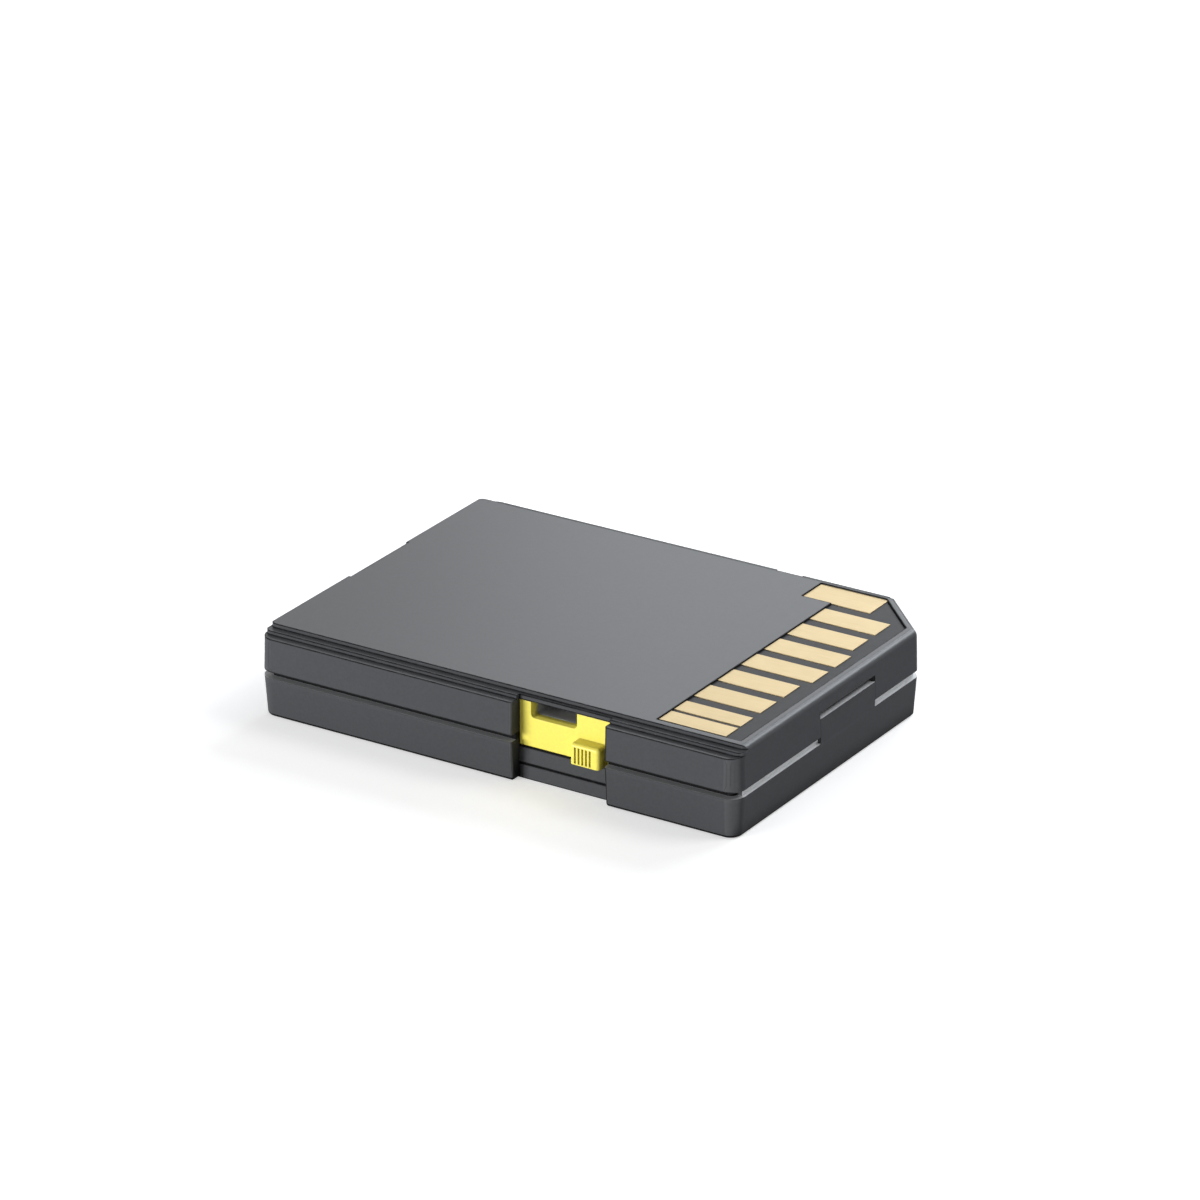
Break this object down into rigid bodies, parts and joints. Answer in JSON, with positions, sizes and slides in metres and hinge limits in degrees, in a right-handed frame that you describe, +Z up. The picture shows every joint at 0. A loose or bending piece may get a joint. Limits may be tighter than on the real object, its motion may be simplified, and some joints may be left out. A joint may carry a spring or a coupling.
{
  "type": "memory card reader",
  "caption": "USB card reader shaped like a large memory card, with a cut corner, gold contact strips on top, card slots in both ends and a side notch with a yellow port bezel and lock slider.",
  "frame": {"origin": "middle of the underside of the case's bounding box", "axes": "+X along the case to the contact end, +Y to the long side with the small notch, +Z up out of the contact face"},
  "size_m": [0.0762, 0.0578, 0.0128],
  "materials": {
    "case_plastic": "fine grained dark grey plastic",
    "yellow_plastic": "smooth yellow plastic",
    "inlay_plastic": "dark grey plastic inlay",
    "gold_plate": "satin gold plating",
    "board_laminate": "green solder mask over laminate",
    "steel_sheet": "folded tin-plated steel sheet",
    "black_plastic": "black moulded plastic",
    "white_plastic": "white moulded plastic",
    "chip_resin": "black moulded resin",
    "tan_ceramic": "tan fired body with tinned ends",
    "dark_ceramic": "dark glazed body with tinned ends"
  },
  "bodies": {
    "reader": {"capacitors": "tan_ceramic", "card_socket_contacts": "gold_plate", "card_socket_cover": "steel_sheet", "card_socket_frame": "black_plastic", "circuit_board": "board_laminate", "contact_inlay": "inlay_plastic", "contact_pad_1": "gold_plate", "contact_pad_2": "gold_plate", "contact_pad_3": "gold_plate", "contact_pad_4": "gold_plate", "contact_pad_5": "gold_plate", "contact_pad_6": "gold_plate", "contact_pad_7": "gold_plate", "contact_pad_8": "gold_plate", "contact_pad_9": "gold_plate", "controller_chip": "chip_resin", "crystal": "steel_sheet", "lock_switch_body": "black_plastic", "lower_case": "case_plastic", "memory_chip": "chip_resin", "micro_socket_contacts": "gold_plate", "micro_socket_cover": "steel_sheet", "micro_socket_frame": "black_plastic", "resistors": "dark_ceramic", "side_bezel": "yellow_plastic", "upper_case": "case_plastic", "usb_contacts": "gold_plate", "usb_insulator": "black_plastic", "usb_shell": "steel_sheet"},
    "lock": {"lock_slider": "yellow_plastic", "lock_switch_lever": "white_plastic"}
  },
  "joints": [
    {"name": "lock_slide", "type": "slide", "parent": "reader", "child": "lock", "axis": [-1, 0, 0], "range_m": [0, 0.002]}
  ]
}
